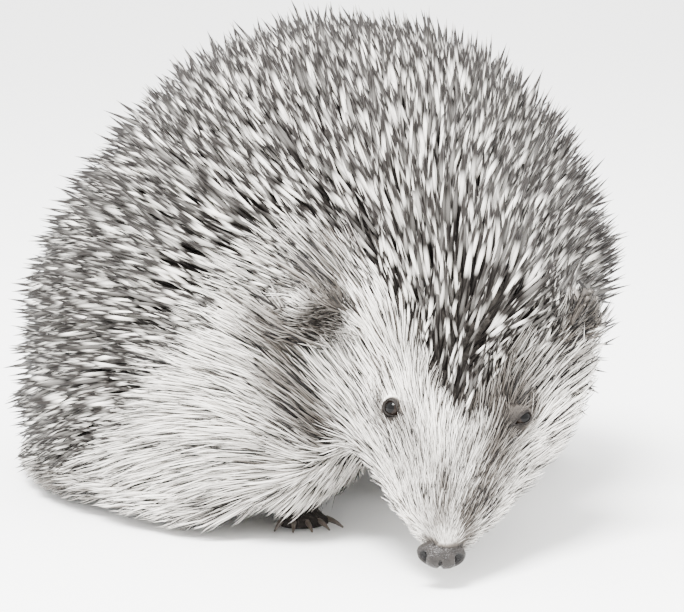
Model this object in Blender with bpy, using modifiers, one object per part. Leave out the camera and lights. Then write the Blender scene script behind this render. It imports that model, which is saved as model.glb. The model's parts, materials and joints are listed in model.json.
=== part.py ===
"""Hedgehog, life size, standing low on its feet with the head turned and lowered.

The solids follow the outline of the animal out to the tips of its spines and fur.
Metres, +Z up, the animal looks along -Y and its left side is +X.
"""
import math

import bmesh
import bpy
from mathutils import Matrix, Vector

# Trunk, measured to the tips of the spines.
TRUNK_CENTRE_Z = 0.045
TRUNK_HALF_WIDTH = 0.0775
TRUNK_FRONT_LENGTH = 0.0900
TRUNK_REAR_LENGTH = 0.0980
TRUNK_UPPER_HEIGHT = 0.0815
TRUNK_BEND = 1.2
SHOULDER_NARROWING = 0.05
APEX_SHIFT = 0.0110
HIP_SLOPE = 1.70
SKIRT_CLEARANCE = 0.0
SKIRT_SQUARENESS = 16.0
CHEST_SQUARENESS = 2.8
CHEST_RISE = 0.0320
CHEST_RISE_START = 0.0300
CHEST_RISE_END = 0.0800
CHEST_ROUND_START = 0.0150
CHEST_RISE_TURN = math.radians(30.0)
RUMP_RISE = 0.0060
RUMP_RISE_START = 0.0700
BELLY_HOLLOW = 0.0110

# Head: its own frame has its origin midway between the eyes.
HEAD_ORIGIN = Vector((-0.0171, -0.1042, 0.0363))
HEAD_TURN = math.radians(-33.0)
HEAD_PITCH = math.radians(-34.0)
HEAD_ROLL = math.radians(4.5)
NOSE_CENTRE = (0.0, 0.0372, -0.0066)
NOSE_RADII = (0.0050, 0.0036, 0.0042)
EYE_SPREAD = 0.0158
EYE_RADIUS = 0.0029
EAR_ROOT = (0.0240, -0.0200, 0.0020)
EAR_PRICKED_TIP = (0.0385, -0.0215, 0.0155)
EAR_LAID_TIP = (0.0300, -0.0380, 0.0060)
EAR_PRICKED_FACE = (0.25, 0.96, -0.03)
EAR_LAID_FACE = (0.95, 0.30, 0.20)
EAR_WIDTH = 0.0175
EAR_THICKNESS = 0.0026
EAR_CUP = 0.0040

# Spiny crown, in the head's frame, and the nape behind it.
CROWN_CENTRE = (0.0, -0.0300, 0.0060)
CROWN_RADII = (0.0260, 0.0270, 0.0240)
NAPE_CENTRE = (-0.0080, -0.0540, 0.0620)
NAPE_RADIUS = 0.0440

# Hollows before the ears and creases behind the cheeks, in the head's frame.
EAR_HOLLOW = ((0.0350, -0.0100, 0.0110), (0.0135, 0.0115, 0.0130))
CHEEK_CREASE = ((0.0355, -0.0080, 0.0060), 0.0075, (0.0300, 0.0010, -0.0140), 0.0065)

# Where the body is parted.
NECK_NORMAL = (-0.25, -0.93, 0.17)
NECK_OFFSET = 0.0780
HEAD_BACK = -0.0310
HEAD_CUT_RADIUS = 0.0450
HEAD_CUT_LENGTH = 0.0900
FLANK_NORMAL = (0.0, 0.18, 1.0)
FLANK_OFFSET = 0.0380

# Legs, each from inside the body down to its foot: start, radius, end, radius.
LEFT_FORELEG = ((0.0180, -0.0240, 0.0290), 0.0090, (0.0180, -0.0270, 0.0095), 0.0052)
RIGHT_FORELEG = ((-0.0270, -0.0360, 0.0290), 0.0090, (-0.0290, -0.0400, 0.0095), 0.0052)
LEFT_HINDLEG = ((0.0335, 0.0520, 0.0165), 0.0085, (0.0340, 0.0560, 0.0100), 0.0058)
RIGHT_HINDLEG = ((-0.0335, 0.0600, 0.0160), 0.0085, (-0.0340, 0.0640, 0.0100), 0.0058)

# Feet: palm centre behind the toes, palm radii, toe length and radius, turned outwards.
LEFT_FOREPAW_CENTRE = (0.0185, -0.0310, 0.0038)
RIGHT_FOREPAW_CENTRE = (-0.0300, -0.0440, 0.0038)
LEFT_HINDPAW_CENTRE = (0.0345, 0.0480, 0.0040)
RIGHT_HINDPAW_CENTRE = (-0.0345, 0.0560, 0.0040)
FOREPALM = (0.0062, 0.0078, 0.0046)
HINDPALM = (0.0060, 0.0140, 0.0048)
FORE_TOE = 0.0078
HIND_TOE = 0.0068
TOE_RADIUS = 0.0018
LEFT_FOOT_TURN = math.radians(10.0)
RIGHT_FOOT_TURN = math.radians(-12.0)
TOES = 5
TOE_FAN = math.radians(68.0)
TOE_LEVEL = 0.0016
CLAW_LENGTH = 0.0058
CLAW_RADIUS = 0.0008
CLAW_TIP_LEVEL = 0.0007
TAIL = ((0.0, 0.0820, 0.0170), 0.0044, (0.0, 0.1030, 0.0110), 0.0020)

# Making.
GAP = 0.0003
WELD = 0.00001
BODY_VOXEL = 0.0020
PAW_VOXEL = 0.0011
JUNCTION_CENTRE = (0.0, -0.0420, 0.0150)
JUNCTION_REACH = (0.0350, 0.0560)
JUNCTION_PASSES = 12
LEG_VOXEL = 0.0014
BODY_TRIANGLES = 2500
PAW_TRIANGLES = 170
LEG_TRIANGLES = 90
TAIL_TRIANGLES = 70
SHARP_ANGLE = math.radians(40.0)


def clear_scene():
    for obj in list(bpy.data.objects):
        bpy.data.objects.remove(obj, do_unlink=True)


def make_collection(name):
    collection = bpy.data.collections.new(name)
    bpy.context.scene.collection.children.link(collection)
    return collection


def make_material(name, colour, roughness, metallic=0.0):
    material = bpy.data.materials.new(name)
    material.use_nodes = True
    shader = material.node_tree.nodes["Principled BSDF"]
    shader.inputs["Base Color"].default_value = (*colour, 1.0)
    shader.inputs["Roughness"].default_value = roughness
    shader.inputs["Metallic"].default_value = metallic
    material.diffuse_color = (*colour, 1.0)
    return material


def object_from_bmesh(name, shape, collection):
    """A new object of a closed form, its faces turned outwards."""
    bmesh.ops.recalc_face_normals(shape, faces=shape.faces)
    if shape.calc_volume(signed=True) < 0.0:
        bmesh.ops.reverse_faces(shape, faces=shape.faces)
    mesh = bpy.data.meshes.new(name)
    shape.to_mesh(mesh)
    shape.free()
    obj = bpy.data.objects.new(name, mesh)
    collection.objects.link(obj)
    return obj


def head_axes():
    """Left, forward and crown directions of the turned, lowered, tilted head."""
    ahead = Vector((math.sin(HEAD_TURN), -math.cos(HEAD_TURN), 0.0))
    side = Vector((math.cos(HEAD_TURN), math.sin(HEAD_TURN), 0.0))
    up = Vector((0.0, 0.0, 1.0))
    forward = ahead * math.cos(HEAD_PITCH) + up * math.sin(HEAD_PITCH)
    crown = up * math.cos(HEAD_PITCH) - ahead * math.sin(HEAD_PITCH)
    left = side * math.cos(HEAD_ROLL) - crown * math.sin(HEAD_ROLL)
    crown = crown * math.cos(HEAD_ROLL) + side * math.sin(HEAD_ROLL)
    return left, forward, crown


def head_matrix():
    """Head frame: X to the animal's left, Y forward along the skull, Z to the crown."""
    left, forward, crown = head_axes()
    rows = [(left[i], forward[i], crown[i], HEAD_ORIGIN[i]) for i in range(3)]
    return Matrix((*rows, (0.0, 0.0, 0.0, 1.0)))


def apply_modifiers(obj):
    """Replace the object's mesh by its evaluated one and drop its modifiers."""
    graph = bpy.context.evaluated_depsgraph_get()
    graph.update()
    mesh = bpy.data.meshes.new_from_object(obj.evaluated_get(graph))
    obj.modifiers.clear()
    obj.data = mesh
    return obj


def keep_largest_piece(obj):
    """Remove any sliver that a cut left beside the main body."""
    shape = bmesh.new()
    shape.from_mesh(obj.data)
    left = set(shape.verts)
    pieces = []
    while left:
        stack = [left.pop()]
        piece = set(stack)
        while stack:
            for edge in stack.pop().link_edges:
                for vert in edge.verts:
                    if vert in left:
                        left.discard(vert)
                        piece.add(vert)
                        stack.append(vert)
        pieces.append(piece)
    largest = max(pieces, key=len)
    loose = [vert for vert in shape.verts if vert not in largest]
    bmesh.ops.delete(shape, geom=loose, context="VERTS")
    bmesh.ops.dissolve_degenerate(shape, edges=shape.edges, dist=WELD)
    bmesh.ops.remove_doubles(shape, verts=shape.verts, dist=WELD)
    bmesh.ops.triangulate(shape, faces=shape.faces)
    shape.to_mesh(obj.data)
    shape.free()
    return obj


def boolean(obj, cutter, operation):
    cut = obj.modifiers.new(operation.lower(), "BOOLEAN")
    cut.object = cutter
    cut.operation = operation
    cut.solver = "EXACT"
    return keep_largest_piece(apply_modifiers(obj))


def grown_copy(obj, cutters, amount=GAP):
    """A copy swollen by the clearance, kept with the cutters."""
    copy = bpy.data.objects.new(obj.name + "_clearance", obj.data.copy())
    copy.matrix_world = obj.matrix_world
    copy.hide_render = True
    copy.display_type = "WIRE"
    cutters.objects.link(copy)
    swell = copy.modifiers.new("swell", "DISPLACE")
    swell.strength = amount
    swell.mid_level = 0.0
    return apply_modifiers(copy)


def cut_room_for(obj, neighbours, cutters):
    for neighbour in neighbours:
        boolean(obj, grown_copy(neighbour, cutters), "DIFFERENCE")


def add_ball(shape, centre, radii, matrix=None, columns=24, rows=16):
    """An ellipsoid inside a shape that the voxel remesh will merge."""
    place = (matrix or Matrix()) @ Matrix.Translation(Vector(centre))
    bmesh.ops.create_uvsphere(
        shape, u_segments=columns, v_segments=rows, radius=1.0,
        matrix=place @ Matrix.Diagonal((*radii, 1.0)))


def add_taper(shape, start, start_radius, end, end_radius, columns=16):
    """A cone frustum with rounded ends between two points."""
    start = Vector(start)
    end = Vector(end)
    run = end - start
    turn = run.to_track_quat("Z", "Y").to_matrix().to_4x4()
    place = Matrix.Translation((start + end) / 2) @ turn
    bmesh.ops.create_cone(
        shape, cap_ends=True, segments=columns, radius1=start_radius,
        radius2=end_radius, depth=run.length, matrix=place)
    for centre, radius in ((start, start_radius), (end, end_radius)):
        add_ball(shape, centre, (radius,) * 3, None, columns, columns // 2)


def smooth_step(value, low, high):
    share = min(max((value - low) / (high - low), 0.0), 1.0)
    return share * share * (3.0 - 2.0 * share)


def skirt_level(x, y):
    """Height of the coat's lower edge: near the floor, lifted under chest and rump."""
    ahead = x * math.sin(CHEST_RISE_TURN) - y * math.cos(CHEST_RISE_TURN)
    chest = CHEST_RISE * smooth_step(ahead, CHEST_RISE_START, CHEST_RISE_END)
    rump = RUMP_RISE * smooth_step(y, RUMP_RISE_START, TRUNK_REAR_LENGTH)
    return SKIRT_CLEARANCE + chest + rump


def skirt_power(x, y):
    """How square the lower half is: a wall at the flanks and rump, round at the chest."""
    ahead = x * math.sin(CHEST_RISE_TURN) - y * math.cos(CHEST_RISE_TURN)
    share = smooth_step(ahead, CHEST_ROUND_START, CHEST_RISE_END)
    return 2.0 / (SKIRT_SQUARENESS + share * (CHEST_SQUARENESS - SKIRT_SQUARENESS))


def trunk_point(x, y, z):
    """Shape a point of the unit ball into the domed, square-skirted, bent trunk."""
    depth = TRUNK_REAR_LENGTH if y > 0.0 else TRUNK_FRONT_LENGTH
    narrow = 1.0 - SHOULDER_NARROWING * smooth_step(-y, 0.0, 1.0)
    half_width = TRUNK_HALF_WIDTH * narrow
    if z >= 0.0:
        slope = 1.0 - HIP_SLOPE * smooth_step(y, 0.0, 1.0) * (x * z) ** 2
        along = y * slope * depth - APEX_SHIFT * z * z
        bend = -TRUNK_BEND * min(along, 0.0) ** 2
        level = TRUNK_CENTRE_Z + z * slope * TRUNK_UPPER_HEIGHT
        return Vector((x * slope * half_width + bend, along, level))
    reach = max(math.hypot(x, y), 1e-6)
    power = skirt_power(x / reach * half_width, y / reach * depth)
    spread = reach ** power
    across = x / reach * spread * half_width
    along = y / reach * spread * depth
    bend = -TRUNK_BEND * min(along, 0.0) ** 2
    floor = skirt_level(across, along) + BELLY_HOLLOW * (1.0 - spread ** 3)
    level = TRUNK_CENTRE_Z - abs(z) ** power * (TRUNK_CENTRE_Z - floor)
    return Vector((across + bend, along, level))


def add_trunk(shape):
    ball = bmesh.ops.create_uvsphere(shape, u_segments=64, v_segments=40, radius=1.0)
    for vert in ball["verts"]:
        vert.co = trunk_point(*vert.co)


# Stations along the head, from nape to nose: distance ahead of the eyes, half width,
# crown height, throat depth and the height of the widest level.
HEAD_STATIONS = (
    (-0.0420, 0.0330, 0.0280, -0.0300, -0.0040),
    (-0.0250, 0.0340, 0.0220, -0.0290, -0.0080),
    (-0.0120, 0.0295, 0.0135, -0.0265, -0.0110),
    (0.0000, 0.0240, 0.0080, -0.0235, -0.0120),
    (0.0110, 0.0190, 0.0045, -0.0200, -0.0115),
    (0.0210, 0.0135, 0.0018, -0.0168, -0.0100),
    (0.0300, 0.0088, -0.0008, -0.0142, -0.0082),
    (0.0350, 0.0066, -0.0022, -0.0126, -0.0074),
    (0.0375, 0.0045, -0.0034, -0.0106, -0.0068),
)
HEAD_SIDES = 32
CROWN_SQUARENESS = 1.65
THROAT_SQUARENESS = 2.2


def head_ring(station):
    """One closed section of the head: peaked above its widest level, rounder below."""
    ahead, half_width, crown, throat, widest = station
    ring = []
    for i in range(HEAD_SIDES):
        angle = 2.0 * math.pi * i / HEAD_SIDES
        above = math.sin(angle) >= 0.0
        power = 2.0 / (CROWN_SQUARENESS if above else THROAT_SQUARENESS)
        across = math.copysign(abs(math.cos(angle)) ** power, math.cos(angle))
        level = abs(math.sin(angle)) ** power
        reach = crown - widest if above else throat - widest
        ring.append(Vector((across * half_width, ahead, widest + level * reach)))
    return ring


def add_head(shape):
    """Loft the furred head through its stations, in world space."""
    place = head_matrix()
    rings = []
    for station in HEAD_STATIONS:
        rings.append([shape.verts.new(place @ point) for point in head_ring(station)])
    for back, front in zip(rings, rings[1:]):
        for i in range(HEAD_SIDES):
            j = (i + 1) % HEAD_SIDES
            shape.faces.new((back[i], back[j], front[j], front[i]))
    shape.faces.new(rings[0])
    shape.faces.new(list(reversed(rings[-1])))


def add_hood(shape):
    """The spiny hood: the dome of the back carried forward to the crown of the head."""
    hood = bmesh.new()
    ball = bmesh.ops.create_uvsphere(hood, u_segments=64, v_segments=40, radius=1.0)
    for vert in ball["verts"]:
        vert.co = trunk_point(vert.co.x, vert.co.y, abs(vert.co.z))
    add_ball(hood, CROWN_CENTRE, CROWN_RADII, head_matrix(), 32, 20)
    add_ball(hood, NAPE_CENTRE, (NAPE_RADIUS,) * 3, None, 32, 20)
    hull = bmesh.ops.convex_hull(hood, input=hood.verts)
    spare = hull["geom_interior"] + hull["geom_unused"]
    bmesh.ops.delete(hood, geom=list({v for v in spare if isinstance(v, bmesh.types.BMVert)}),
                     context="VERTS")
    mesh = bpy.data.meshes.new("hood")
    hood.to_mesh(mesh)
    hood.free()
    shape.from_mesh(mesh)


def build_hollows(cutters):
    """Forms that are carved from the coat: before each ear and behind each cheek."""
    shape = bmesh.new()
    for side in (1, -1):
        centre, radii = EAR_HOLLOW
        add_ball(shape, mirrored(centre, side), radii)
        start, start_radius, end, end_radius = CHEEK_CREASE
        add_taper(shape, mirrored(start, side), start_radius, mirrored(end, side), end_radius)
    bmesh.ops.transform(shape, matrix=head_matrix(), verts=shape.verts)
    hollows = object_from_bmesh("hollows", shape, cutters)
    hollows.hide_render = True
    hollows.display_type = "WIRE"
    voxel_merge(hollows, PAW_VOXEL)
    return hollows


def weight_junction(obj, centre, inner, outer):
    """Vertex weights that are full at the neck and fade out over the head and trunk."""
    group = obj.vertex_groups.new(name="junction")
    for vert in obj.data.vertices:
        far = (vert.co - centre).length
        group.add([vert.index], 1.0 - smooth_step(far, inner, outer), "REPLACE")


def voxel_merge(obj, voxel):
    """Merge overlapping closed forms into one even surface."""
    remesh = obj.modifiers.new("merge", "REMESH")
    remesh.mode = "VOXEL"
    remesh.voxel_size = voxel
    return apply_modifiers(obj)


def build_body(collection, cutters):
    """Trunk, neck and head as one closed surface."""
    shape = bmesh.new()
    add_trunk(shape)
    add_head(shape)
    add_hood(shape)
    body = voxel_merge(object_from_bmesh("body", shape, collection), BODY_VOXEL)
    boolean(body, build_hollows(cutters), "DIFFERENCE")
    voxel_merge(body, BODY_VOXEL)
    weight_junction(body, head_matrix() @ Vector(JUNCTION_CENTRE), *JUNCTION_REACH)
    blend = body.modifiers.new("blend", "SMOOTH")
    blend.vertex_group = "junction"
    blend.iterations = JUNCTION_PASSES
    blend.factor = 0.5
    even = body.modifiers.new("even", "SMOOTH")
    even.iterations = 2
    even.factor = 0.4
    apply_modifiers(body)
    reduce_to(body, BODY_TRIANGLES)
    return body


def reduce_to(obj, triangles):
    obj.data.calc_loop_triangles()
    now = len(obj.data.loop_triangles)
    if now > triangles:
        thin = obj.modifiers.new("thin", "DECIMATE")
        thin.ratio = triangles / now
        apply_modifiers(obj)


def plane_half(body, name, normal, offset, keep_front, collection):
    """The part of the body on one side of a plane, its cut face closed."""
    shape = bmesh.new()
    shape.from_mesh(body.data)
    normal = Vector(normal).normalized()
    shift = GAP / 2 if keep_front else -GAP / 2
    cut = bmesh.ops.bisect_plane(
        shape, geom=shape.verts[:] + shape.edges[:] + shape.faces[:], dist=1e-7,
        plane_co=normal * (offset + shift), plane_no=normal,
        clear_inner=keep_front, clear_outer=not keep_front)
    rim = [e for e in cut["geom_cut"] if isinstance(e, bmesh.types.BMEdge)]
    bmesh.ops.contextual_create(shape, geom=rim)
    return object_from_bmesh(name, shape, collection)


def build_head_cutter(cutters, grow):
    """A round bar along the skull's axis that parts the head from the neck."""
    shape = bmesh.new()
    middle = HEAD_BACK - grow + HEAD_CUT_LENGTH / 2
    place = head_matrix() @ Matrix.Translation((0.0, middle, 0.0))
    turn = Matrix.Rotation(math.pi / 2, 4, "X")
    bmesh.ops.create_cone(
        shape, cap_ends=True, segments=40, radius1=HEAD_CUT_RADIUS + grow,
        radius2=HEAD_CUT_RADIUS + grow, depth=HEAD_CUT_LENGTH, matrix=place @ turn)
    cutter = object_from_bmesh("head_cut", shape, cutters)
    cutter.hide_render = True
    cutter.display_type = "WIRE"
    return cutter


def part_body(body, collection, cutters):
    """Part the whole body into back, belly, neck and head."""
    trunk = plane_half(body, "trunk", NECK_NORMAL, NECK_OFFSET, False, cutters)
    back = plane_half(trunk, "trunk_back", FLANK_NORMAL, FLANK_OFFSET, True, collection)
    belly = plane_half(trunk, "trunk_belly", FLANK_NORMAL, FLANK_OFFSET, False, collection)
    neck = plane_half(body, "neck", NECK_NORMAL, NECK_OFFSET, True, collection)
    head = object_from_mesh("head", neck.data.copy(), collection)
    boolean(head, build_head_cutter(cutters, 0.0), "INTERSECT")
    boolean(neck, build_head_cutter(cutters, GAP), "DIFFERENCE")
    bpy.data.objects.remove(trunk)
    bpy.data.objects.remove(body)
    return {"trunk_back": back, "trunk_belly": belly, "neck": neck, "head": head}


def object_from_mesh(name, mesh, collection):
    obj = bpy.data.objects.new(name, mesh)
    collection.objects.link(obj)
    return obj


def mirrored(point, side):
    return Vector((point[0] * side, point[1], point[2]))


def build_ear(name, side, tip, facing, collection):
    """A rounded flap, cupped towards the way it faces, rooted in the side of the head."""
    root = mirrored(EAR_ROOT, side)
    up = mirrored(tip, side) - root
    length = up.length
    up.normalize()
    face = mirrored(facing, side)
    face = (face - up * face.dot(up)).normalized()
    across = up.cross(face)
    shape = bmesh.new()
    ball = bmesh.ops.create_uvsphere(shape, u_segments=14, v_segments=8, radius=1.0)
    place = head_matrix()
    for vert in ball["verts"]:
        x, y, z = vert.co
        narrowing = 1.0 - 0.18 * smooth_step(-z, 0.0, 1.0)
        cup = EAR_CUP * (x * x + 0.4 * z * z)
        point = root + up * (length / 2 * (1.0 + z))
        point += across * (x * narrowing * EAR_WIDTH / 2)
        point += face * (y * EAR_THICKNESS / 2 + cup)
        vert.co = place @ point
    return object_from_bmesh(name, shape, collection)


def build_eye(name, side, collection):
    shape = bmesh.new()
    add_ball(shape, (EYE_SPREAD * side, 0.0, 0.0), (EYE_RADIUS,) * 3, head_matrix(), 12, 8)
    return object_from_bmesh(name, shape, collection)


def build_nose(collection):
    shape = bmesh.new()
    add_ball(shape, NOSE_CENTRE, NOSE_RADII, head_matrix(), 14, 9)
    return object_from_bmesh("nose", shape, collection)


def rounded_limb(name, limb, triangles, collection):
    """A tapered, round-ended length of limb merged into one surface."""
    start, start_radius, end, end_radius = limb
    shape = bmesh.new()
    add_taper(shape, start, start_radius, end, end_radius)
    obj = object_from_bmesh(name, shape, collection)
    merge(obj, LEG_VOXEL, triangles)
    return obj


def merge(obj, voxel, triangles):
    """Merge overlapping closed forms and thin the result to its triangle budget."""
    voxel_merge(obj, voxel)
    even = obj.modifiers.new("even", "SMOOTH")
    even.iterations = 2
    even.factor = 0.5
    apply_modifiers(obj)
    reduce_to(obj, triangles)


def toe_run(foot, index):
    """Root and tip of one toe of a foot, and its forward direction."""
    spread = TOE_FAN * (index / (TOES - 1) - 0.5)
    angle = foot["turn"] + spread
    ahead = Vector((math.sin(angle), -math.cos(angle), 0.0))
    width, length, _ = foot["palm"]
    across = Vector((math.cos(foot["turn"]), math.sin(foot["turn"]), 0.0))
    along = Vector((math.sin(foot["turn"]), -math.cos(foot["turn"]), 0.0))
    root = Vector(foot["centre"]) + across * (0.6 * width * math.sin(spread))
    root += along * (0.62 * length * math.cos(spread))
    root.z = TOE_LEVEL + 0.0008
    tip = root + ahead * foot["toe"] * (0.75 + 0.25 * math.cos(spread))
    tip.z = TOE_LEVEL
    return root, tip, ahead


def build_paw(name, foot, collection):
    """Palm and five toes, flat where they stand on the floor."""
    shape = bmesh.new()
    place = Matrix.Translation(foot["centre"]) @ Matrix.Rotation(foot["turn"], 4, "Z")
    add_ball(shape, (0.0, 0.0, 0.0), foot["palm"], place)
    for index in range(TOES):
        root, tip, _ = toe_run(foot, index)
        add_taper(shape, root, TOE_RADIUS * 1.15, tip, TOE_RADIUS, 12)
    whole = object_from_bmesh(name + "_whole", shape, collection)
    merge(whole, PAW_VOXEL, PAW_TRIANGLES)
    sole = plane_half(whole, name, (0.0, 0.0, 1.0), -GAP / 2, True, collection)
    bpy.data.objects.remove(whole)
    return sole


def build_claw(name, root, ahead, collection):
    """A slim claw curving forwards and down from the end of its toe."""
    curve = bpy.data.curves.new(name, "CURVE")
    curve.dimensions = "3D"
    curve.bevel_depth = CLAW_RADIUS
    curve.bevel_resolution = 1
    curve.use_fill_caps = True
    steps = 3
    spline = curve.splines.new("POLY")
    spline.points.add(steps)
    start = root - ahead * 0.0012
    for i, point in enumerate(spline.points):
        share = i / steps
        place = start + ahead * (CLAW_LENGTH * share)
        place.z = root.z + 0.0006 - (root.z + 0.0006 - CLAW_TIP_LEVEL) * share ** 1.8
        point.co = (*place, 1.0)
        point.radius = 1.0 - 0.68 * share ** 1.5
    source = bpy.data.objects.new(name, curve)
    collection.objects.link(source)
    graph = bpy.context.evaluated_depsgraph_get()
    graph.update()
    mesh = bpy.data.meshes.new_from_object(source.evaluated_get(graph))
    bpy.data.objects.remove(source)
    shape = bmesh.new()
    shape.from_mesh(mesh)
    bmesh.ops.remove_doubles(shape, verts=shape.verts, dist=WELD)
    return object_from_bmesh(name, shape, collection)


def build_foot(name, foot, collection, cutters):
    """A paw and its five claws, each claw let into the end of its toe."""
    paw = build_paw(name, foot, collection)
    claws = []
    for index in range(TOES):
        _, tip, ahead = toe_run(foot, index)
        claws.append(build_claw(f"{name}_claw_{index + 1}", tip, ahead, collection))
    cut_room_for(paw, claws, cutters)
    return paw, claws


def build_limbs(belly, collection, cutters):
    """Four short legs in pockets of the belly, each standing on its foot."""
    fore = {"palm": FOREPALM, "toe": FORE_TOE}
    hind = {"palm": HINDPALM, "toe": HIND_TOE}
    left = {"turn": LEFT_FOOT_TURN}
    right = {"turn": RIGHT_FOOT_TURN}
    limbs = (
        ("fore", "left", LEFT_FORELEG, {**fore, **left, "centre": LEFT_FOREPAW_CENTRE}),
        ("fore", "right", RIGHT_FORELEG, {**fore, **right, "centre": RIGHT_FOREPAW_CENTRE}),
        ("hind", "left", LEFT_HINDLEG, {**hind, **left, "centre": LEFT_HINDPAW_CENTRE}),
        ("hind", "right", RIGHT_HINDLEG, {**hind, **right, "centre": RIGHT_HINDPAW_CENTRE}),
    )
    made = {}
    for pair, side, limb, foot in limbs:
        paw, claws = build_foot(f"{pair}paw_{side}", foot, collection, cutters)
        leg = rounded_limb(f"{pair}leg_{side}", limb, LEG_TRIANGLES, collection)
        cut_room_for(leg, [paw], cutters)
        cut_room_for(belly, [paw, leg, *claws], cutters)
        for obj in (paw, leg, *claws):
            made[obj.name] = obj
    return made


def finish(obj, material):
    obj.data.materials.clear()
    obj.data.materials.append(material)
    for face in obj.data.polygons:
        face.material_index = 0
    obj.data.shade_smooth()
    obj.data.set_sharp_from_angle(angle=SHARP_ANGLE)


def stand_at_origin(collection):
    """Move every piece so that the plan box is centred and the soles are at z = 0."""
    corners = [v.co for obj in collection.objects for v in obj.data.vertices]
    low = [min(c[i] for c in corners) for i in range(3)]
    high = [max(c[i] for c in corners) for i in range(3)]
    shift = Vector((-(low[0] + high[0]) / 2, -(low[1] + high[1]) / 2, -low[2]))
    for obj in collection.objects:
        obj.data.transform(Matrix.Translation(shift))


def build_hedgehog():
    clear_scene()
    collection = make_collection("hedgehog")
    cutters = make_collection("cutters")
    parts = part_body(build_body(collection, cutters), collection, cutters)
    parts["ear_left"] = build_ear("ear_left", 1, EAR_LAID_TIP, EAR_LAID_FACE, collection)
    parts["ear_right"] = build_ear(
        "ear_right", -1, EAR_PRICKED_TIP, EAR_PRICKED_FACE, collection)
    for side, word in ((1, "left"), (-1, "right")):
        parts[f"eye_{word}"] = build_eye(f"eye_{word}", side, collection)
    parts["nose"] = build_nose(collection)
    set_in = [parts[name] for name in ("ear_left", "ear_right", "eye_left", "eye_right", "nose")]
    cut_room_for(parts["head"], set_in, cutters)
    cut_room_for(parts["neck"], set_in[:2], cutters)
    parts.update(build_limbs(parts["trunk_belly"], collection, cutters))
    parts["tail"] = rounded_limb("tail", TAIL, TAIL_TRIANGLES, collection)
    cut_room_for(parts["trunk_belly"], [parts["tail"]], cutters)
    spines = make_material("spines", (0.30, 0.25, 0.20), 0.60)
    fur = make_material("fur", (0.50, 0.42, 0.33), 0.85)
    skin = make_material("bare_skin", (0.16, 0.12, 0.11), 0.60)
    nose_leather = make_material("nose_leather", (0.03, 0.025, 0.025), 0.35)
    horn = make_material("claw_horn", (0.22, 0.16, 0.12), 0.40)
    eye_black = make_material("eye_black", (0.01, 0.008, 0.008), 0.08)
    for name, obj in parts.items():
        material = fur
        if name == "trunk_back":
            material = spines
        elif name == "nose":
            material = nose_leather
        elif name.startswith("eye"):
            material = eye_black
        elif "claw" in name:
            material = horn
        elif "paw" in name or name.startswith("ear"):
            material = skin
        finish(obj, material)
    stand_at_origin(collection)


build_hedgehog()
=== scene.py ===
import json
import math
import bpy
import bmesh
import numpy as np
from mathutils import Matrix, Vector
from mathutils.bvhtree import BVHTree

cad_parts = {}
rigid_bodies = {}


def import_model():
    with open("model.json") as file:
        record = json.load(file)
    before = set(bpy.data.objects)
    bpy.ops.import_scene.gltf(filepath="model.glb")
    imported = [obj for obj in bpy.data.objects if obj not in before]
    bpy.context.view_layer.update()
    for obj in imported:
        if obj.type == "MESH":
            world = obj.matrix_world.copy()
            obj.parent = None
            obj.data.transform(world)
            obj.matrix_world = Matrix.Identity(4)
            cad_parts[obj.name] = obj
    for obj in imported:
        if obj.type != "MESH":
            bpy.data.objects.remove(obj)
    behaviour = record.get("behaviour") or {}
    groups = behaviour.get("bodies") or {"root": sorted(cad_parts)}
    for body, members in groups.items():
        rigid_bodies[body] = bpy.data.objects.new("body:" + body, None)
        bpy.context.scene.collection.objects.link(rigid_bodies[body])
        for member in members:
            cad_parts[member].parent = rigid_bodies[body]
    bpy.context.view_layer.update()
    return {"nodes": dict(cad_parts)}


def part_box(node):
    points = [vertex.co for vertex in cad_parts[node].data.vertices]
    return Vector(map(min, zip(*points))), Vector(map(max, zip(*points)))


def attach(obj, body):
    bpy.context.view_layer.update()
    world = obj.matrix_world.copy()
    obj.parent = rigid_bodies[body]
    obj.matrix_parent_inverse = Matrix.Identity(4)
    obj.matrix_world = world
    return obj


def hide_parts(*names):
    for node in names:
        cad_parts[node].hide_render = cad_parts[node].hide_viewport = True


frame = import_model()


# ---- The head's own directions
# The head hangs low and is turned to the animal's right. Its left, ahead and crown directions
# are read from the eyes and the nose, and places on the face are given along them.

def middle_of(node):
    low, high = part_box(node)
    return (low + high) / 2


eye_places = {"left": middle_of("eye_left"), "right": middle_of("eye_right")}
eye_radius = (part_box("eye_left")[1].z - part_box("eye_left")[0].z) / 2
nose_place = middle_of("nose")
brow_place = (eye_places["left"] + eye_places["right"]) / 2
head_ahead = (nose_place - brow_place).normalized()
head_left = eye_places["left"] - eye_places["right"]
head_left = (head_left - head_ahead * head_left.dot(head_ahead)).normalized()
head_crown = head_ahead.cross(head_left)
if head_crown.z < 0:
    head_crown = -head_crown
HEAD_AXES = np.array([head_left, head_ahead, head_crown])


def along_head(places):
    """Places as (left, ahead, crown) distances from the point between the eyes."""
    return (places - np.array(brow_place)) @ HEAD_AXES.T


# ---- The skin
# One unbroken hide over trunk, neck, head, ears, legs, feet and tail. It lies under the
# outline by the depth of the coat: deep below the spines, shallow on face, ears and feet.

FLESH = [name for name in frame["nodes"]
         if "claw" not in name and not name.startswith("eye") and name != "nose"]
SKIN_CELL = 0.0012
JOIN_OVERLAP = 0.0004
SPINE_DEPTH = 0.0135
HEM_DEPTH = 0.0058
CHEEK_DEPTH = 0.0032
SNOUT_DEPTH = 0.0010
EYE_DEPTH = 0.0007
SINK_STEPS = 12
EASE_FROM = 0.002
EASE_OVER = 0.004
HOLLOW_DEPTH = 0.0036
HOLLOW_WIDTH = 0.0050
EAR_HOLLOWS = (((-36, -72, 62), (-38, -66, 55), (-41, -62, 50)), ((20, -92, 56), (20, -91, 51)))
LIMB_THINNING = 0.75
LIMB_REACH = 0.0035

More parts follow.
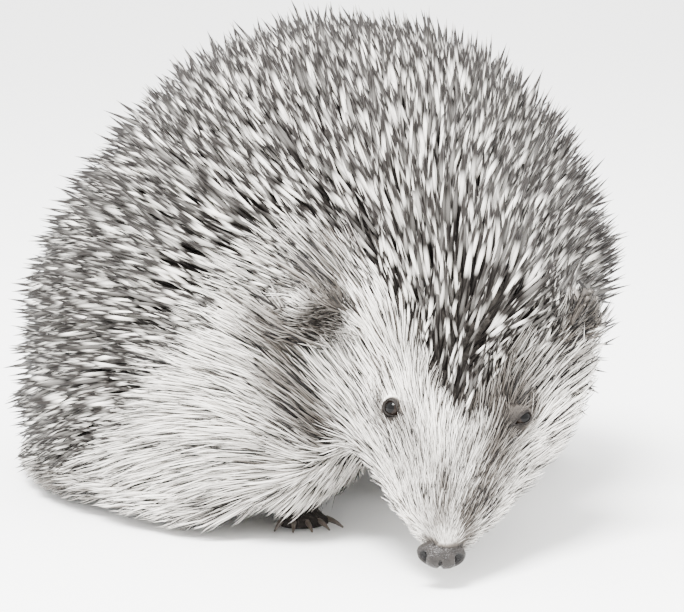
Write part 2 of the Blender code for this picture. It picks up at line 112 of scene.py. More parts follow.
# Where one depth of coat gives way to the next, as the two distances it changes between:
# above the spines' edge and the floor, ahead and beside of the point between the eyes,
# ahead on the snout, and off an eye.
SPINES_FROM = (-0.006, 0.012)
HEM_FROM = (0.004, 0.050)
FACE_AHEAD = (-0.022, -0.002)
FACE_BESIDE = (0.030, 0.045)
SNOUT_AHEAD = (0.004, 0.026)
OFF_EYE = (0.0035, 0.0085)

# Where the spines end, as a height in metres for each bearing in degrees round the trunk:
# 0 is straight ahead, negative to the right. It dips to a point between the eyes.
SPINE_EDGE = (
    (-180, 0.012), (-100, 0.009), (-80, 0.015), (-68, 0.032), (-52, 0.048), (-37, 0.064),
    (-27, 0.066), (-19, 0.056), (-15, 0.0435), (-10.8, 0.033), (-6, 0.0362), (-2, 0.0415),
    (5, 0.045), (13, 0.0448), (34, 0.041), (63, 0.029), (90, 0.017), (180, 0.012),
)


def smooth(values, low, high):
    share = np.clip((values - low) / (high - low), 0.0, 1.0)
    return share * share * (3.0 - 2.0 * share)


def read_vectors(items, slot):
    flat = np.empty(len(items) * 3, np.float32)
    items.foreach_get(slot, flat)
    return flat.reshape(-1, 3).astype(float)


def vertex_places(mesh):
    return read_vectors(mesh.vertices, "co")


def vertex_normals(mesh):
    return read_vectors(mesh.vertex_normals, "vector")


def set_places(mesh, places):
    mesh.vertices.foreach_set("co", places.astype(np.float32).ravel())
    mesh.update()


def above_spine_edge(places):
    """Height above the line where the spines end, in metres; negative below it."""
    bearing = np.degrees(np.arctan2(places[:, 0], -places[:, 1]))
    bearings, heights = zip(*SPINE_EDGE)
    return places[:, 2] - np.interp(bearing, bearings, heights)


def surface_of(mesh):
    """The mesh's faces, arranged for quick searches."""
    return BVHTree.FromPolygons([v.co for v in mesh.vertices],
                                [p.vertices for p in mesh.polygons])


def distance_to(node, places, reach):
    """Distance from each place to a solid's surface, or reach where it is farther than that."""
    tree = surface_of(frame["nodes"][node].data)
    low, high = (np.array(corner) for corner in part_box(node))
    near = np.all((places > low - reach) & (places < high + reach), axis=1)
    distances = np.full(len(places), reach)
    for i in np.nonzero(near)[0]:
        found = tree.find_nearest(Vector(places[i]), reach)
        if found[3] is not None:
            distances[i] = found[3]
    return distances


def baked_mesh(obj):
    """The object's mesh with its modifiers worked in."""
    graph = bpy.context.evaluated_depsgraph_get()
    mesh = bpy.data.meshes.new_from_object(obj.evaluated_get(graph))
    obj.modifiers.clear()
    return mesh


def new_object(name, mesh):
    obj = bpy.data.objects.new(name, mesh)
    bpy.context.scene.collection.objects.link(obj)
    return obj


def finished_mesh(shape, name):
    mesh = bpy.data.meshes.new(name)
    shape.to_mesh(mesh)
    shape.free()
    return mesh


def rounded_mesh(shape, name):
    """The mesh of a closed, smooth shape, with its faces pointing outwards."""
    shape.normal_update()
    bmesh.ops.recalc_face_normals(shape, faces=shape.faces)
    mesh = finished_mesh(shape, name)
    mesh.shade_smooth()
    return mesh


def joined_flesh():
    """The flesh solids in one mesh, each grown until it runs into its neighbours. The eyes
    and nose are in it too, so that skin runs behind the lids and the nose pad.
    """
    whole = bmesh.new()
    for name in [*FLESH, "eye_left", "eye_right", "nose"]:
        part = bmesh.new()
        part.from_mesh(frame["nodes"][name].data)
        bmesh.ops.remove_doubles(part, verts=part.verts, dist=0.00001)
        part.normal_update()
        for vert in part.verts:
            vert.co += vert.normal * JOIN_OVERLAP
        mesh = finished_mesh(part, name + "_grown")
        whole.from_mesh(mesh)
        bpy.data.meshes.remove(mesh)
    return finished_mesh(whole, "skin")


def remesh(obj, cell, rounds):
    """Turn the object's mesh into one closed surface of even cells, lightly smoothed."""
    merge = obj.modifiers.new("merge", "REMESH")
    merge.mode = "VOXEL"
    merge.voxel_size = cell
    even = obj.modifiers.new("even", "SMOOTH")
    even.iterations = rounds
    even.factor = 0.5
    obj.data = baked_mesh(obj)


def share_near(places, wanted, reach):
    """1 on the flesh solids whose names are wanted, falling to 0 a little way off them."""
    share = np.zeros(len(places))
    for name in FLESH:
        if any(word in name for word in wanted):
            off = distance_to(name, places, reach)
            share = np.maximum(share, 1.0 - smooth(off, 0.0006, reach))
    return share


def near_path(places, path, width):
    """1 on a path of points, falling off to 0 over its width."""
    nearest = np.full(len(places), 1.0)
    for start, end in zip(path, path[1:]):
        start, end = np.array(start), np.array(end)
        run = end - start
        share = np.clip((places - start) @ run / max(run @ run, 1e-12), 0.0, 1.0)
        off = np.linalg.norm(places - (start + share[:, None] * run), axis=1)
        nearest = np.minimum(nearest, off)
    return np.exp(-(nearest / width) ** 2)


def near_point(places, point, width):
    return near_path(places, [point, point], width)


def in_metres(path):
    return [np.array(place) / 1000 for place in path]


def coat_depth(places):
    """How far under the outline the skin lies."""
    spiny = smooth(above_spine_edge(places), *SPINES_FROM) * smooth(places[:, 2], *HEM_FROM)
    head = along_head(places)
    face = smooth(head[:, 1], *FACE_AHEAD) * (1.0 - smooth(np.abs(head[:, 0]), *FACE_BESIDE))
    snout = smooth(head[:, 1], *SNOUT_AHEAD)
    furred = HEM_DEPTH + (CHEEK_DEPTH - HEM_DEPTH) * face
    furred = furred + (SNOUT_DEPTH - furred) * snout * face
    depth = furred + (SPINE_DEPTH - furred) * spiny
    for eye in eye_places.values():
        off = np.linalg.norm(places - np.array(eye), axis=1)
        depth = depth + (EYE_DEPTH - depth) * (1.0 - smooth(off, *OFF_EYE))
    depth = depth * (1.0 - LIMB_THINNING * share_near(places, ("leg", "tail"), LIMB_REACH))
    depth = depth * (1.0 - share_near(places, ("ear", "paw"), LIMB_REACH))
    for hollow in EAR_HOLLOWS:
        depth = depth + HOLLOW_DEPTH * near_path(places, in_metres(hollow), HOLLOW_WIDTH)
    return JOIN_OVERLAP + depth


def neighbour_means(mesh):
    """A function that averages values over each vertex's neighbours."""
    edges = np.empty(len(mesh.edges) * 2, np.int32)
    mesh.edges.foreach_get("vertices", edges)
    ends = edges.reshape(-1, 2)
    count = np.bincount(ends.ravel(), minlength=len(mesh.vertices))[:, None]

    def average(values):
        total = np.zeros_like(values)
        for axis in range(values.shape[1]):
            total[:, axis] += np.bincount(ends[:, 0], values[ends[:, 1], axis], len(values))
            total[:, axis] += np.bincount(ends[:, 1], values[ends[:, 0], axis], len(values))
        return total / count

    return average


def sink(obj):
    """Draw the surface in by the coat's depth, in small steps that keep it free of folds."""
    mesh = obj.data
    average = neighbour_means(mesh)
    places = vertex_places(mesh)
    depth = coat_depth(places)[:, None]
    for _ in range(3):
        depth = 0.5 * depth + 0.5 * average(depth)
    ease = np.clip((depth - EASE_FROM) / EASE_OVER, 0.0, 1.0)
    for _ in range(SINK_STEPS):
        places = places - vertex_normals(mesh) * depth / SINK_STEPS
        for _ in range(2):
            places = places + (average(places) - places) * 0.5 * ease
        set_places(mesh, places)


skin = new_object("skin", joined_flesh())
remesh(skin, SKIN_CELL, 4)
outline = surface_of(skin.data)
sink(skin)
remesh(skin, SKIN_CELL, 3)


# ---- The eyelids
# Thin dark lids of the same skin, drawn over the ball to a slightly slanted oval. The skin is
# made finer there, sunk behind the ball inside the oval, and raised to a rim round it.

BALL_RADIUS = 0.86 * eye_radius
BALL_SINK = 0.0007
LID_LONG = 0.00168
LID_DUCT = 0.00290
DUCT_START = 0.0006
DUCT_NARROWING = 0.65
SLIT_TURN = 0.70
# For each eye: turn ahead, turn to the crown, step inwards, half height of the opening.
EYE_SET = {"right": (0.80, 0.95, 0.0010, 0.00156), "left": (0.45, 0.50, 0.0, 0.00100)}
LID_THICK = 0.00032
LID_REACHES = (0.0085, 0.0048)
BALL_HIDDEN = 0.0006
SKULL_BEHIND = -0.002
AWAY_FROM_LIDS = 9.0
# The lid's raised rim and sunk crease: height in metres, then place and width in openings.
LID_RIM = (0.00020, 1.12, 0.10)
LID_CREASE = (0.00022, 1.62, 0.12)


def eye_directions(side):
    """Directions out of the eye, along its slit to the inner corner, and across that."""
    outwards = outline.find_nearest(eye_places[side])[1]
    ahead, crown = EYE_SET[side][:2]
    out = (outwards + head_ahead * ahead + head_crown * crown).normalized()
    slit = head_ahead * SLIT_TURN + head_left * (SLIT_TURN if side == "right" else -SLIT_TURN)
    slit = (slit - out * slit.dot(out)).normalized()
    over = out.cross(slit)
    return out, slit, over if over.dot(head_crown) > 0 else -over


def ball_place(side):
    inwards = head_left * EYE_SET[side][2] * (1.0 if side == "right" else -1.0)
    return eye_places[side] + inwards - eye_directions(side)[0] * BALL_SINK


def lid_oval(places, side):
    """How far out each place is: in lid openings, off the ball's axis, above and across it."""
    out, slit, over = (np.array(v) for v in eye_directions(side))
    off = places - np.array(ball_place(side))
    long_way = off @ slit
    tall_way = off @ over
    height = off @ out
    tall = EYE_SET[side][3] * (1.0 - DUCT_NARROWING * smooth(long_way, DUCT_START, LID_DUCT))
    long = np.where(long_way > 0, LID_DUCT, LID_LONG)
    oval = np.hypot(long_way / long, tall_way / tall)
    oval = np.where(height > SKULL_BEHIND, oval, AWAY_FROM_LIDS)
    return oval, np.hypot(long_way, tall_way), height, tall_way


def refine_near(mesh, centres, radius):
    """Cut the mesh's edges near the centres into three."""
    shape = bmesh.new()
    shape.from_mesh(mesh)
    edges = [e for e in shape.edges
             if any((v.co - c).length < radius for v in e.verts for c in centres)]
    bmesh.ops.subdivide_edges(shape, edges=edges, cuts=2, use_grid_fill=True)
    bmesh.ops.triangulate(shape, faces=[f for f in shape.faces if len(f.verts) > 4])
    shape.to_mesh(mesh)
    shape.free()


def shape_lids(mesh):
    """Press the skin to each ball as a lid, and sink it behind the ball inside the opening."""
    places = vertex_places(mesh)
    for side in eye_places:
        out = np.array(eye_directions(side)[0])
        oval, off, height, tall_way = lid_oval(places, side)
        shell = np.sqrt(np.maximum((BALL_RADIUS + LID_THICK) ** 2 - off ** 2, 0.0))
        ball = np.sqrt(np.maximum(BALL_RADIUS ** 2 - off ** 2, 0.0))
        lid = np.where(off < BALL_RADIUS, shell, np.maximum(shell, height))
        rim, rim_out, rim_wide = LID_RIM
        lid = lid + rim * np.exp(-((oval - rim_out) / rim_wide) ** 2)
        crease, crease_out, crease_wide = LID_CREASE
        lid = lid - crease * np.exp(-((oval - crease_out) / crease_wide) ** 2) * (tall_way > 0)
        behind = np.maximum(ball, 0.4 * BALL_RADIUS) - BALL_HIDDEN
        wanted = behind + (lid - behind) * smooth(oval, 0.93, 1.03)
        share = 1.0 - smooth(oval, 1.7, 2.6)
        places = places + out * ((wanted - height) * share)[:, None]
    set_places(mesh, places)


for reach in LID_REACHES:
    refine_near(skin.data, list(eye_places.values()), reach)
shape_lids(skin.data)


# ---- How the coat lies
# Hairs and spines lean away from the face and rise only as far as the outline leaves room.
# These facts are kept on the skin for every coat piece to read, and so are the markings with
# their painted shade.

DROOP = 0.50
FLOW_SHARE = 0.03
SPINE_LENGTH = 0.0215
SPINE_SHORTEST = 0.55
SPINE_GROWTH = (0.0, 0.022)
SPINE_RISE = (0.18, 0.80)
FUR_RISE = (0.10, 0.75)
FLANK_HAIR = 0.0180
BELLY_HAIR = 0.0100
CHEEK_HAIR = 0.0105
SNOUT_HAIR = 0.0042
NOSE_HAIR = 0.0025
LIMB_HAIR = 0.0045
EAR_HAIR = 0.0045
LEFT_EAR_HAIR = 0.0062
BARE_HAIR = 0.0016
EAR_STAND = 0.60
MOUTH_TURN = 0.60
MOUTH_WIDTH = 0.10
MOUTH_SHORTENING = 0.45
BROW_SHORTENING = 0.40
EYE_CLEARANCE = 0.0030
PLAIN_PALE = 0.55

# Where one rule for the coat gives way to the next, as the two distances it changes between.
FACE_START = (-0.026, -0.006)
FACE_SIDES = (0.026, 0.040)
SNOUT_START = (-0.004, 0.024)
MOUTH_START = (0.012, 0.017)
NOSE_START = (0.027, 0.034)
BROW_BELOW = (-0.009, -0.001)
EYE_FUR = (0.0026, 0.0085)

PAD_SIZE = Vector((0.0055, 0.0036, 0.0028))
pad_place = nose_place + head_ahead * 0.0005 - head_left * 0.0008 - Vector((0.0, 0.0, 0.0015))

# How the coat is combed where it shows most: places in millimetres, then directions along
# the surface there in hundredths.
COMB_REACH = 0.0105
COMBING = (
    (8, -36, 116, -5, 88, 48), (17, -41, 111, -16, 75, 64), (36, -45, 93, 15, 73, 67),
    (34, -53, 86, 39, 78, 49), (-24, -74, 85, -19, 68, 70), (-5, -80, 85, 27, 69, 67),
    (8, -77, 84, 42, 76, 49), (56, -40, 55, 54, 74, 41), (-15, -87, 75, 15, 61, 78),
    (-5, -90, 75, 28, 66, 69), (8, -88, 73, 36, 66, 65), (-14, -96, 63, 55, 4, 84),
    (-6, -97, 63, 18, 31, 93), (-21, -93, 59, 19, -2, 98), (1, -97, 60, 31, 21, 93),
    (10, -94, 54, 29, 14, 95), (24, -83, 58, 47, 20, 86), (51, -47, 44, 59, 47, 66),
    (-16, -95, 48, 11, -22, 97), (-9, -97, 48, 19, -21, 96), (-1, -98, 51, 30, -13, 95),
    (-48, -15, 106, 14, 92, 36), (-19, -33, 117, 4, 91, 40), (-67, 9, 86, -10, 98, -18),
    (-32, -64, 90, -1, 74, 67), (-53, -46, 79, -26, 81, 53), (-46, -56, 80, -21, 78, 59),
    (-70, -13, 69, -19, 97, 17), (-74, 2, 68, -17, 95, -25), (-75, 19, 62, -1, 93, -36),
    (-58, -43, 68, -45, 86, 26), (-44, -61, 77, -31, 80, 52), (-36, -71, 77, -24, 63, 74),
    (-28, -81, 72, -1, 50, 86), (-58, -48, 58, -49, 82, 30), (-77, 18, 43, 4, 99, -16),
    (-74, -14, 47, -25, 97, 3), (-61, -44, 49, -51, 80, 30), (-77, 14, 34, 1, 96, -27),
    (-75, -10, 38, -20, 97, -11), (-77, 17, 26, 3, 85, -53), (-75, -7, 28, -16, 77, -62),
    (-77, 5, 21, -5, 70, -71), (-77, 12, 14, -1, 71, -71), (9, -94, 46, 86, 32, 40),
    (23, -88, 47, 80, 57, 17), (22, -89, 41, 81, 53, 23), (8, -95, 40, 85, 37, 38),
    (-4, -98, 41, 81, 29, 50), (-16, -100, 37, 58, 41, 71), (-22, -101, 34, 35, 51, 79),
    (-12, -102, 34, 75, 37, 54), (3, -98, 38, 85, 33, 41), (16, -93, 37, 82, 47, 32),
    (12, -94, 31, 82, 47, 32), (0, -100, 30, 84, 42, 35), (-10, -105, 26, 88, 37, 29),
    (-19, -105, 29, 63, 44, 64), (-25, -106, 27, 49, 47, 73), (-53, -52, 68, -46, 83, 32),
    (-49, -60, 61, -54, 78, 33), (-54, -54, 52, -58, 75, 31), (-54, -54, 48, -60, 77, 22),
    (-45, -63, 69, -34, 87, 37), (-44, -60, 52, -86, 9, 49), (-55, -53, 39, -61, 77, 18),
    (-48, -61, 47, -84, 43, 32), (-45, -63, 37, -80, 19, 57), (-40, -63, 31, -76, 11, 64),
    (-54, -54, 31, -62, 78, 1), (-62, -43, 28, -50, 86, -10), (-75, -9, 14, -20, 95, -23),
    (-62, -43, 18, -47, 81, -34), (-54, -54, 22, -61, 77, -21), (-45, -63, 25, -89, 39, 24),
    (-54, -54, 17, -55, 70, -45), (-62, -44, 11, -42, 73, -54), (-74, -10, 6, -15, 97, -18),
    (-57, -51, 9, -43, 67, -60), (-45, -63, 18, -86, 46, -21), (-64, -39, 6, -24, 85, -48),
    (-32, -81, 60, -24, 38, 89), (-33, -74, 52, -3, 55, 83), (-34, -65, 56, -61, 0, 79),
    (-37, -64, 58, -78, 1, 63), (-29, -84, 48, -30, 17, 94), (-26, -88, 44, -5, 49, 87),
    (-24, -94, 40, 15, 62, 77), (-28, -101, 30, 15, 69, 71), (-30, -95, 31, 11, 74, 66),
    (-33, -90, 31, 6, 82, 57), (-34, -81, 32, 3, 87, 50), (-34, -69, 30, -24, 59, 77),
    (-36, -67, 37, -36, 38, 85), (-38, -65, 45, -33, 65, 68), (-33, -107, 19, 27, 58, 77),
    (-31, -112, 18, 29, 56, 77), (-25, -111, 19, 43, 49, 76), (-18, -108, 23, 63, 43, 65),
    (-20, -111, 18, 72, 41, 56), (-12, -107, 22, 77, 40, 49), (-36, -107, 13, 1, -4, 100),
    (-35, -113, 14, 36, 54, 76), (-29, -114, 13, 45, 53, 72), (-36, -71, 42, -19, 51, 84),
    (-32, -80, 38, -18, 54, 82),
)

# Markings and painted shade: how pale the coat is, how wide the mark is in millimetres, and the
# places it runs through. Brow, bridge, cheeks and flank are pale and eye corners dark; the ear
# hollows, the neck crease and the low rear hem are painted dark as shade.
MARKINGS_AND_SHADE = (
    (0.8, 13, (-52, -57, 49), (-56, -52, 36), (-60, -46, 23)),
    (0.66, 8, (-71, -25, 19), (-69, -28, 13), (-58, -50, 16)),
    # Painted shade: the low rear hem is darkened towards the floor.
    (0.2, 4, (-76, 2, 5), (-72, -16, 5)),
    (0.15, 7, (-77, 2, 11), (-77, 19, 12)),
    (0.35, 2.5, (-54, -54, 15), (-60, -46, 8)),
    (0.7, 4, (-35, -71, 37), (-35, -76, 31), (-35, -88, 25)),
    (1.0, 4.5, (-35, -74, 58), (-34, -78, 50), (-31, -81, 42)),
    (0.92, 3.5, (-28, -87, 40), (-26, -94, 37), (-26, -101, 32)),
    # Painted shade in the right ear's hollow, with its rim left pale.
    (0.32, 3.4, (-43, -69, 63), (-44, -61, 55)),
    (0.16, 4.6, (-37, -71, 62), (-39, -64, 55), (-42, -61, 48)),
    (0.05, 3.4, (-37, -73, 67), (-37, -73, 64), (-39, -72, 60)),
    (0.75, 3.2, (-46, -62, 69), (-46, -62, 65), (-46, -63, 61)),
    # Painted shade in the left ear's hollow.
    (0.06, 9, (16, -92, 60), (20, -88, 52)),
    # Painted shade down the neck crease behind the cheek.
    (0.18, 3.8, (-46, -62, 45), (-44, -63, 41), (-41, -63, 36), (-37, -64, 27)),
    (0.95, 2.6, (-36, -89, 21), (-36, -98, 17), (-36, -105, 12)),
    (0.28, 2.4, (-28, -105, 26), (-31, -110, 20), (-33, -111, 14)),
    (0.16, 2.8, (-24, -111, 19), (-26, -114, 15), (-27, -115, 12)),
    (0.8, 3.5, (-2, -101, 30), (8, -97, 32), (18, -91, 36)),
    (0.2, 3.2, (-21, -93, 55), (-19, -93, 48), (-19, -95, 42)),
    (0.14, 4, (-16, -96, 54), (-12, -96, 47), (-10, -98, 41)),
    (0.2, 4, (-5, -99, 55), (-3, -97, 47), (-4, -98, 41)),
    (0.22, 2.6, (-30, -84, 59), (-28, -86, 54), (-26, -88, 48), (-25, -90, 43)),
    (0.18, 3.2, (-19, -93, 46), (-19, -96, 42), (-19, -98, 39)),
    (0.18, 3.2, (-14, -96, 44), (-14, -98, 41), (-14, -100, 38)),
    (0.25, 4.5, (-5, -98, 51), (3, -97, 50), (11, -93, 51)),
    (0.4, 3.4, (1, -97, 44), (8, -95, 44), (14, -93, 44)),
    (0.42, 3, (-17, -97, 41), (-17, -101, 35), (-22, -105, 30)),
    # Partly the dark mask and partly painted shade: the streak from the left eye down the left
    # side of the snout, on the face's shaded far side.
    (0.3, 3.6, (-9, -103, 31), (-13, -106, 25), (-20, -111, 18)),
    (0.1, 2, (1, -98, 37), (-1, -97, 35), (-7, -101, 34)),
    (0.06, 2.6, (-8, -100, 36), (-5, -99, 37.5), (-2, -97, 38.5)),
    (0.05, 2.2, (-7, -101, 34), (-11, -103, 31), (-14, -105, 28)),
    (0.16, 2.8, (-14, -105, 28), (-18, -108, 24), (-22, -111, 19)),
    (0.4, 2.2, (-32, -87, 34), (-31, -92, 32)),
    (0.02, 1.8, (-30, -87, 36), (-29.5, -88.5, 35.5)),
)


def unit(vectors):
    return vectors / np.maximum(np.linalg.norm(vectors, axis=1), 1e-9)[:, None]


def along_skin(flow, normals):
    return unit(flow - normals * np.sum(flow * normals, axis=1)[:, None])


def keep(mesh, name, values):
    """Keep a number, or a direction, for each vertex of the skin under a name."""
    kind = "FLOAT" if values.ndim == 1 else "FLOAT_VECTOR"
    field = mesh.attributes.new(name, kind, "POINT")
    slot = "value" if values.ndim == 1 else "vector"
    field.data.foreach_set(slot, values.astype(np.float32).ravel())


def combed(places, flow):
    """The flow turned to the combed directions wherever one is near."""
    flow = flow * FLOW_SHARE
    for row in COMBING:
        off = np.linalg.norm(places - np.array(row[:3]) / 1000, axis=1)
        flow = flow + np.exp(-0.5 * (off / COMB_REACH) ** 2)[:, None] * np.array(row[3:]) / 100
    return flow


skin_places = vertex_places(skin.data)
skin_normals = vertex_normals(skin.data)
skin_head = along_head(skin_places)
nearest = [outline.find_nearest(Vector(p)) for p in skin_places]
room = np.array([found[3] for found in nearest])
surface = np.array([found[0] for found in nearest])
ears = share_near(skin_places, ("ear",), LIMB_REACH)
bare = share_near(skin_places, ("paw",), LIMB_REACH)
limbs = share_near(skin_places, ("leg", "tail"), LIMB_REACH)
lids = np.minimum(*(lid_oval(skin_places, side)[0] for side in eye_places))
height = above_spine_edge(skin_places)
face = smooth(skin_head[:, 1], *FACE_START)
face = face * (1.0 - smooth(np.abs(skin_head[:, 0]), *FACE_SIDES))
below = smooth(-skin_normals[:, 2], 0.35, 0.8) * (1.0 - face)

spiny = smooth(height, -0.0025, 0.0025) * smooth(skin_normals[:, 2], -0.75, -0.35)
spiny = spiny * (1.0 - smooth(share_near(skin_places, ("ear_right",), 0.0065), 0.20, 0.55))
spiny = spiny * (1.0 - smooth(share_near(skin_places, ("ear_left",), 0.0022), 0.30, 0.60))

hem = (1.0 - smooth(height, -0.008, 0.006)) * smooth(skin_places[:, 1], -0.050, -0.010)
droop = DROOP * smooth(skin_places[:, 1], -0.060, 0.030) + hem
nose_tip = np.array(nose_place + head_ahead * 0.004)
away = unit(skin_places - nose_tip) - droop[:, None] * np.array([0.0, 0.0, 1.0])
at_nose = smooth(skin_head[:, 1], 0.0285, 0.0325)[:, None]
flow = unit(combed(surface, away))
flow = unit(flow + (away - flow) * at_nose)
lie = along_skin(flow, skin_normals)
lie = unit(lie + (flow - lie) * EAR_STAND * ears[:, None])

reach = FLANK_HAIR + (BELLY_HAIR - FLANK_HAIR) * below
cheek = CHEEK_HAIR + (SNOUT_HAIR - CHEEK_HAIR) * smooth(skin_head[:, 1], *SNOUT_START)
cheek = cheek + (NOSE_HAIR - cheek) * smooth(skin_head[:, 1], *NOSE_START)
reach = reach + (cheek - reach) * face
reach = reach + (LIMB_HAIR - reach) * limbs
ear_hair = np.where(skin_places[:, 0] > 0, LEFT_EAR_HAIR, EAR_HAIR)
reach = reach + (ear_hair - reach) * ears
reach = reach + (BARE_HAIR - reach) * bare
lip = skin_normals @ np.array(head_crown) + MOUTH_TURN
mouth = np.exp(-(lip / MOUTH_WIDTH) ** 2) * smooth(skin_head[:, 1], *MOUTH_START)
reach = reach * (1.0 - MOUTH_SHORTENING * mouth)
brow = face * (1.0 - ears) * smooth(-skin_places[:, 0], 0.008, 0.014)
reach = reach * (1.0 - BROW_SHORTENING * brow * smooth(height, *BROW_BELOW))
for side in eye_places:
    to_eye = np.array(ball_place(side)) - skin_places
    off = np.linalg.norm(to_eye, axis=1)
    along = np.sum(to_eye * lie, axis=1)
    facing = smooth(along / off, -0.5, 0.3)
    reach = reach * (1.0 - (0.20 + 0.55 * facing) * (1.0 - smooth(off, *EYE_FUR)))
    beside = np.sqrt(np.maximum(off ** 2 - along ** 2, 0.0))
    gap = along - np.sqrt(np.maximum(EYE_CLEARANCE ** 2 - beside ** 2, 0.0))
    blocked = (beside < EYE_CLEARANCE) & (along > 0)
    reach = np.where(blocked, np.minimum(reach, np.maximum(gap, BARE_HAIR * 0.4)), reach)

rise = np.arcsin(np.clip(room / reach, *FUR_RISE))
fur_lie = lie * np.cos(rise)[:, None] + skin_normals * np.sin(rise)[:, None]
spine_growth = SPINE_SHORTEST + (1.0 - SPINE_SHORTEST) * smooth(height, *SPINE_GROWTH)
spine_reach = SPINE_LENGTH * spine_growth
fullness = 0.90 + 0.25 * smooth(skin_places[:, 0], 0.005, 0.040)
spine_rise = np.arcsin(np.clip(fullness * room / spine_reach, *SPINE_RISE))
spine_lie = lie * np.cos(spine_rise)[:, None] + skin_normals * np.sin(spine_rise)[:, None]

pale = np.full(len(skin_places), PLAIN_PALE)
for side in ("left", "right"):
    # Painted shade: the coat is darkened round each ear's hollow.
    pale = pale - 0.35 * near_point(skin_places, middle_of("ear_" + side), 0.008)
    patch = eye_places[side] + head_ahead * 0.003
    pale = pale - 0.45 * near_point(skin_places, patch, 0.0040)
    patch = ball_place(side) + eye_directions(side)[0] * BALL_RADIUS
    pale = pale - 0.30 * near_point(skin_places, patch, 0.0030)
for share, width, *path in MARKINGS_AND_SHADE:
    pale = pale + (share - pale) * near_path(surface, in_metres(path), width / 1000)
for side in ("left", "right"):
    out, slit, over = eye_directions(side)
    corner = ball_place(side) + out * BALL_RADIUS + slit * 0.0026
    corner = [corner, corner - over * 0.0022]
    pale = pale * (1.0 - 0.9 * near_path(skin_places, corner, 0.0022))
from_pad = skin_places - np.array(pad_place)
from_pad = np.stack([from_pad @ np.array(way) / size for way, size in
                     zip((head_left, head_ahead, head_crown), PAD_SIZE)])
from_pad = np.linalg.norm(from_pad, axis=0)
pale = pale - 0.50 * (1.0 - smooth(from_pad, 1.10, 1.30))
pale = pale - 0.75 * mouth
# The paws are darker: partly their own dark skin, partly painted shade under the body.
pale = pale - 0.52 * bare
pale = np.clip(pale * smooth(lids, 1.40, 1.85), 0.0, 1.0)

across = (skin_places[:, 0] > 0) * 1.0
rear = (skin_places[:, 1] > 0.022) * 1.0
furry = (1.0 - bare) * smooth(lids, 1.35, 1.60) * smooth(from_pad, 1.04, 1.12)
flank = furry * (1.0 - face) * (1.0 - limbs) * (1.0 - spiny * smooth(height, 0.0020, 0.0065))
furry = furry * (1.0 - spiny)
flank = flank * (1.0 - ears)
cheeks = furry * face * (1.0 - limbs) * (1.0 - ears)
snout = smooth(skin_head[:, 1], 0.0195, 0.0205)
facts = {
    "fur_lie": fur_lie, "spine_lie": spine_lie, "fur_reach": reach, "spine_reach": spine_reach,
    "pale": pale, "spiny": spiny,
    "spines_left": spiny * across * (1.0 - rear),
    "spines_right": spiny * (1.0 - across) * (1.0 - rear),
    "spines_rear_left": spiny * rear * across,
    "spines_rear_right": spiny * rear * (1.0 - across),
    "flank_left": flank * across * (1.0 - below),
    "flank_right": flank * (1.0 - across) * (1.0 - below),
    "belly": flank * below,
    "face_left": cheeks * (skin_head[:, 0] > 0) * (1.0 - snout),
    "face_right": cheeks * (skin_head[:, 0] <= 0) * (1.0 - snout),
    "snout": cheeks * snout,
    "ears": ears * (1.0 - spiny),
    "limbs": np.maximum(limbs * (1.0 - spiny), bare),
}
for name, values in facts.items():
    keep(skin.data, name, values)

bpy.context.view_layer.objects.active = skin
skin.select_set(True)
skin.data.uv_layers.new(name="OFBake")
bpy.ops.object.mode_set(mode="EDIT")
bpy.ops.mesh.select_all(action="SELECT")
bpy.ops.uv.smart_project(angle_limit=1.15, island_margin=0.004, scale_to_bounds=True)
bpy.ops.object.mode_set(mode="OBJECT")
skin.select_set(False)


# ---- How finishes and coat trees are written
# Each finish is a set of shader nodes and each coat piece a geometry tree. One small class
# stands for a socket in either, and takes part in ordinary arithmetic.

class Value:
    """A socket of a node tree. Arithmetic on it adds the Math nodes."""

    def __init__(self, tree, socket):
        self.tree = tree
        self.socket = socket

    def node(self, kind, settings, values, output=0):
        """Add a node; settings are made first, then sockets get numbers or links."""
        return add_node(self.tree, kind, settings, values, output)

    def maths(self, operation, *others):
        return self.node("ShaderNodeMath", {"operation": operation},
                         dict(enumerate([self, *others])))

    def __add__(self, other):
        return self.maths("ADD", other)

    __radd__ = __add__

    def __sub__(self, other):
        return self.maths("SUBTRACT", other)

    def __rsub__(self, other):
        return self.node("ShaderNodeMath", {"operation": "SUBTRACT"}, {0: other, 1: self})

    def __mul__(self, other):
        return self.maths("MULTIPLY", other)

    __rmul__ = __mul__

    def ramp(self, low, high):
        """0 below low, 1 above high, smooth between."""
        return self.node("ShaderNodeMapRange", {"interpolation_type": "SMOOTHSTEP"},
                         {"Value": self, "From Min": low, "From Max": high})


def add_node(tree, kind, settings, values, output=0):
    made = tree.nodes.new(kind)
    for name, setting in settings.items():
        setattr(made, name, setting)
    for key, value in values.items():
        socket = made.inputs[key]
        if isinstance(value, Value):
            tree.links.new(value.socket, socket)
        else:
            socket.default_value = value
    return Value(tree, made.outputs[output])


def start_finish(name, roughness, **settings):
    """A new material, its node tree and its shader."""
    material = bpy.data.materials.new(name)
    material.use_nodes = True
    shader = material.node_tree.nodes["Principled BSDF"]
    shader.inputs["Roughness"].default_value = roughness
    for socket, value in settings.items():
        shader.inputs[socket].default_value = value
    return material, material.node_tree, shader


def attribute(tree, name):
    return add_node(tree, "ShaderNodeAttribute", {"attribute_name": name}, {}, "Fac")


def noise(tree, scale, detail=3.0):
    spot = add_node(tree, "ShaderNodeTexCoord", {}, {}, "Object")
    return add_node(tree, "ShaderNodeTexNoise", {},
                    {"Vector": spot, "Scale": scale, "Detail": detail})


def blend_colours(share, first, second):
    """A colour between two, by a share from 0 to 1."""
    ends = {key: colour if isinstance(colour, Value) else (*colour, 1.0)
            for key, colour in ((6, first), (7, second))}
    return share.node("ShaderNodeMix", {"data_type": "RGBA"}, {0: share, **ends}, 2)


